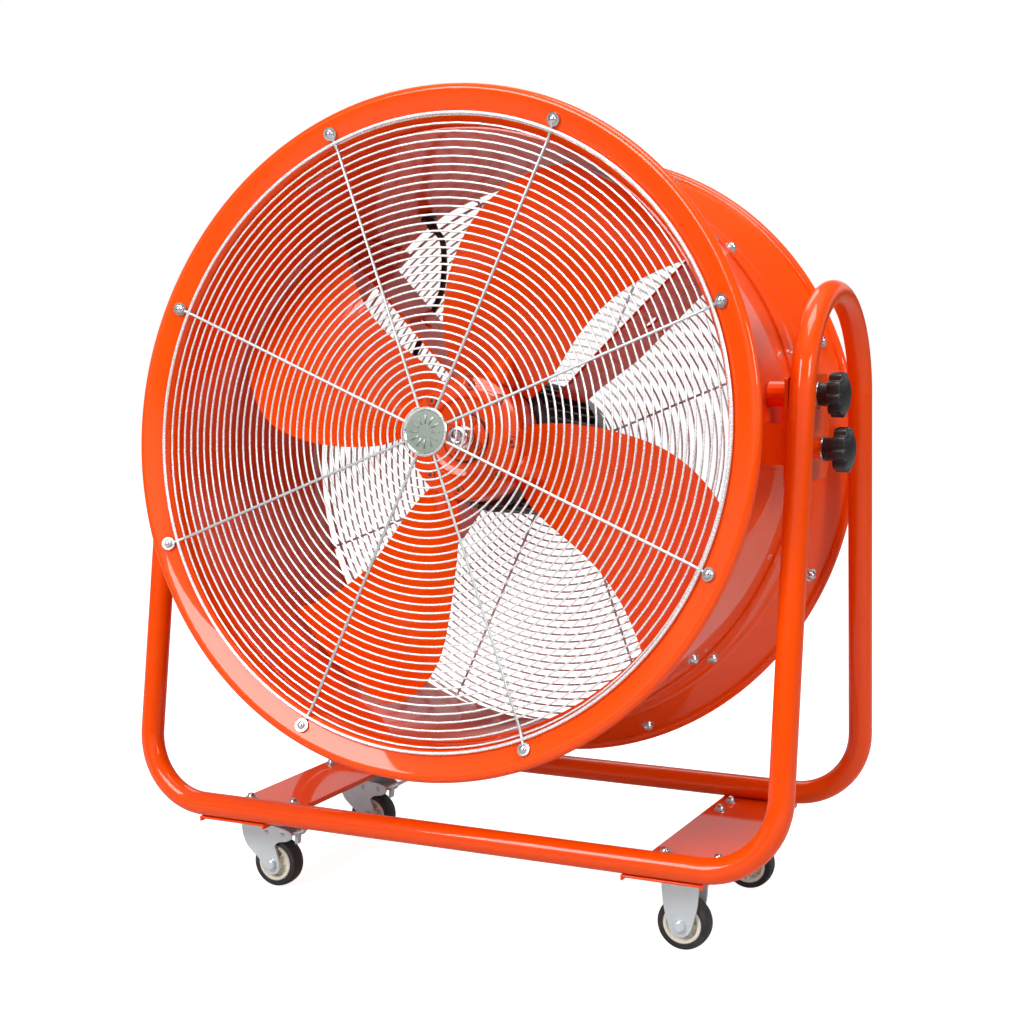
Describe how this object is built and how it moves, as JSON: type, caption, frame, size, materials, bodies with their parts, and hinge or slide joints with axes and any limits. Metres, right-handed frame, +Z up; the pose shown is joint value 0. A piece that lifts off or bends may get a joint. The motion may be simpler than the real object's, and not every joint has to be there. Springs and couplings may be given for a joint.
{
  "type": "axial air mover",
  "caption": "Portable drum fan: guarded axial impeller and motor in a short steel drum that tilts between two tube arches on a wheeled cradle.",
  "frame": {"origin": "on the floor, under the middle of the machine", "axes": "+Z up, -Y out of the front guard, +X to the right of someone facing the front guard"},
  "size_m": [0.7956, 0.4444, 0.8665],
  "materials": {
    "paint": "glossy orange powder coat",
    "wire_zinc": "bright plated wire and screws",
    "caster_zinc": "bright zinc plate",
    "shaft_steel": "turned steel",
    "motor_black": "satin black",
    "knob_black": "black moulded plastic",
    "wheel_cream": "off-white moulded plastic",
    "tyre_black": "black rubber tread",
    "lead_black": "black sheathed lead",
    "badge_grey": "blank round badge with a pale rim"
  },
  "bodies": {
    "cart": {"front_rail": "paint", "rear_rail": "paint", "side_loop_right": "paint", "side_loop_left": "paint", "cross_plate_right": "paint", "cross_plate_left": "paint", "pivot_plate_right": "paint", "pivot_plate_left": "paint", "swivel_plate_front": "caster_zinc", "swivel_plate_rear": "caster_zinc", "rigid_bracket_front": "caster_zinc", "rigid_bracket_rear": "caster_zinc", "right_axle_front": "caster_zinc", "right_axle_rear": "caster_zinc"},
    "drum": {"drum_shell": "paint", "front_inlet_ring": "paint", "rear_outlet_bell": "paint", "front_guard": "wire_zinc", "front_guard_badge": "badge_grey", "rear_guard": "wire_zinc", "motor_body": "motor_black", "motor_front_cover": "motor_black", "motor_rear_cover": "motor_black", "motor_arm_1": "paint", "motor_arm_2": "paint", "motor_arm_3": "paint", "motor_arm_4": "paint", "terminal_box": "paint", "terminal_box_lid": "paint", "lead_gland": "knob_black", "motor_lead": "lead_black", "side_mount_right": "paint", "side_mount_left": "paint"},
    "fan": {"hub_front_half": "paint", "hub_rear_half": "paint", "blade_1": "paint", "blade_2": "paint", "blade_3": "paint", "blade_4": "paint", "taper_bush": "paint", "rotor_shaft": "shaft_steel"},
    "switch": {"switch_knob": "knob_black"},
    "pivot_knob_right": {"pivot_knob_right": "knob_black"},
    "lock_knob_right": {"lock_knob_right": "knob_black"},
    "pivot_knob_left": {"pivot_knob_left": "knob_black"},
    "lock_knob_left": {"lock_knob_left": "knob_black"},
    "swivel_front": {"swivel_fork_front": "caster_zinc", "left_axle_front": "caster_zinc"},
    "left_wheel_front": {"left_core_front": "wheel_cream", "left_tyre_front": "tyre_black"},
    "right_wheel_front": {"right_core_front": "wheel_cream", "right_tyre_front": "tyre_black"},
    "pedal_front": {"brake_pedal_front": "caster_zinc"},
    "swivel_rear": {"swivel_fork_rear": "caster_zinc", "left_axle_rear": "caster_zinc"},
    "left_wheel_rear": {"left_core_rear": "wheel_cream", "left_tyre_rear": "tyre_black"},
    "right_wheel_rear": {"right_core_rear": "wheel_cream", "right_tyre_rear": "tyre_black"},
    "pedal_rear": {"brake_pedal_rear": "caster_zinc"}
  },
  "joints": [
    {"name": "drum_tilt", "type": "hinge", "parent": "cart", "child": "drum", "pos_m": [0, -0.025, 0.50015], "axis": [1, 0, 0], "range_deg": [-27.8, 42.2]},
    {"name": "fan_spin", "type": "hinge", "parent": "drum", "child": "fan", "pos_m": [0, 0, 0.497], "axis": [0, 0.9922, -0.125], "continuous": true},
    {"name": "pivot_knob_right_turn", "type": "hinge", "parent": "drum", "child": "pivot_knob_right", "pos_m": [0.37, -0.025, 0.50015], "axis": [1, 0, 0], "range_deg": [0, 720]},
    {"name": "lock_knob_right_turn", "type": "hinge", "parent": "drum", "child": "lock_knob_right", "pos_m": [0.37, -0.01825, 0.55373], "axis": [1, 0, 0], "range_deg": [0, 720]},
    {"name": "pivot_knob_left_turn", "type": "hinge", "parent": "drum", "child": "pivot_knob_left", "pos_m": [-0.37, -0.025, 0.50015], "axis": [1, 0, 0], "range_deg": [-720, 0]},
    {"name": "lock_knob_left_turn", "type": "hinge", "parent": "drum", "child": "lock_knob_left", "pos_m": [-0.37, -0.01825, 0.55373], "axis": [1, 0, 0], "range_deg": [-720, 0]},
    {"name": "switch_turn", "type": "hinge", "parent": "drum", "child": "switch", "pos_m": [-0.17696, 0.04982, 0.81248], "axis": [-0.4848, 0.1093, 0.8678], "range_deg": [0, 90]},
    {"name": "swivel_front_turn", "type": "hinge", "parent": "cart", "child": "swivel_front", "pos_m": [-0.252, -0.1035, 0.08], "axis": [0, 0, 1], "continuous": true},
    {"name": "left_wheel_front_spin", "type": "hinge", "parent": "swivel_front", "child": "left_wheel_front", "pos_m": [-0.232, -0.1035, 0.0275], "axis": [0, 1, 0], "continuous": true},
    {"name": "right_wheel_front_spin", "type": "hinge", "parent": "cart", "child": "right_wheel_front", "pos_m": [0.252, -0.1035, 0.0275], "axis": [0, 1, 0], "continuous": true},
    {"name": "pedal_front_press", "type": "hinge", "parent": "swivel_front", "child": "pedal_front", "pos_m": [-0.23, -0.1035, 0.0614], "axis": [0, 1, 0], "range_deg": [0, 10]},
    {"name": "swivel_rear_turn", "type": "hinge", "parent": "cart", "child": "swivel_rear", "pos_m": [-0.252, 0.107, 0.08], "axis": [0, 0, 1], "continuous": true},
    {"name": "left_wheel_rear_spin", "type": "hinge", "parent": "swivel_rear", "child": "left_wheel_rear", "pos_m": [-0.232, 0.107, 0.0275], "axis": [0, 1, 0], "continuous": true},
    {"name": "right_wheel_rear_spin", "type": "hinge", "parent": "cart", "child": "right_wheel_rear", "pos_m": [0.252, 0.107, 0.0275], "axis": [0, 1, 0], "continuous": true},
    {"name": "pedal_rear_press", "type": "hinge", "parent": "swivel_rear", "child": "pedal_rear", "pos_m": [-0.23, 0.107, 0.0614], "axis": [0, 1, 0], "range_deg": [0, 10]}
  ]
}
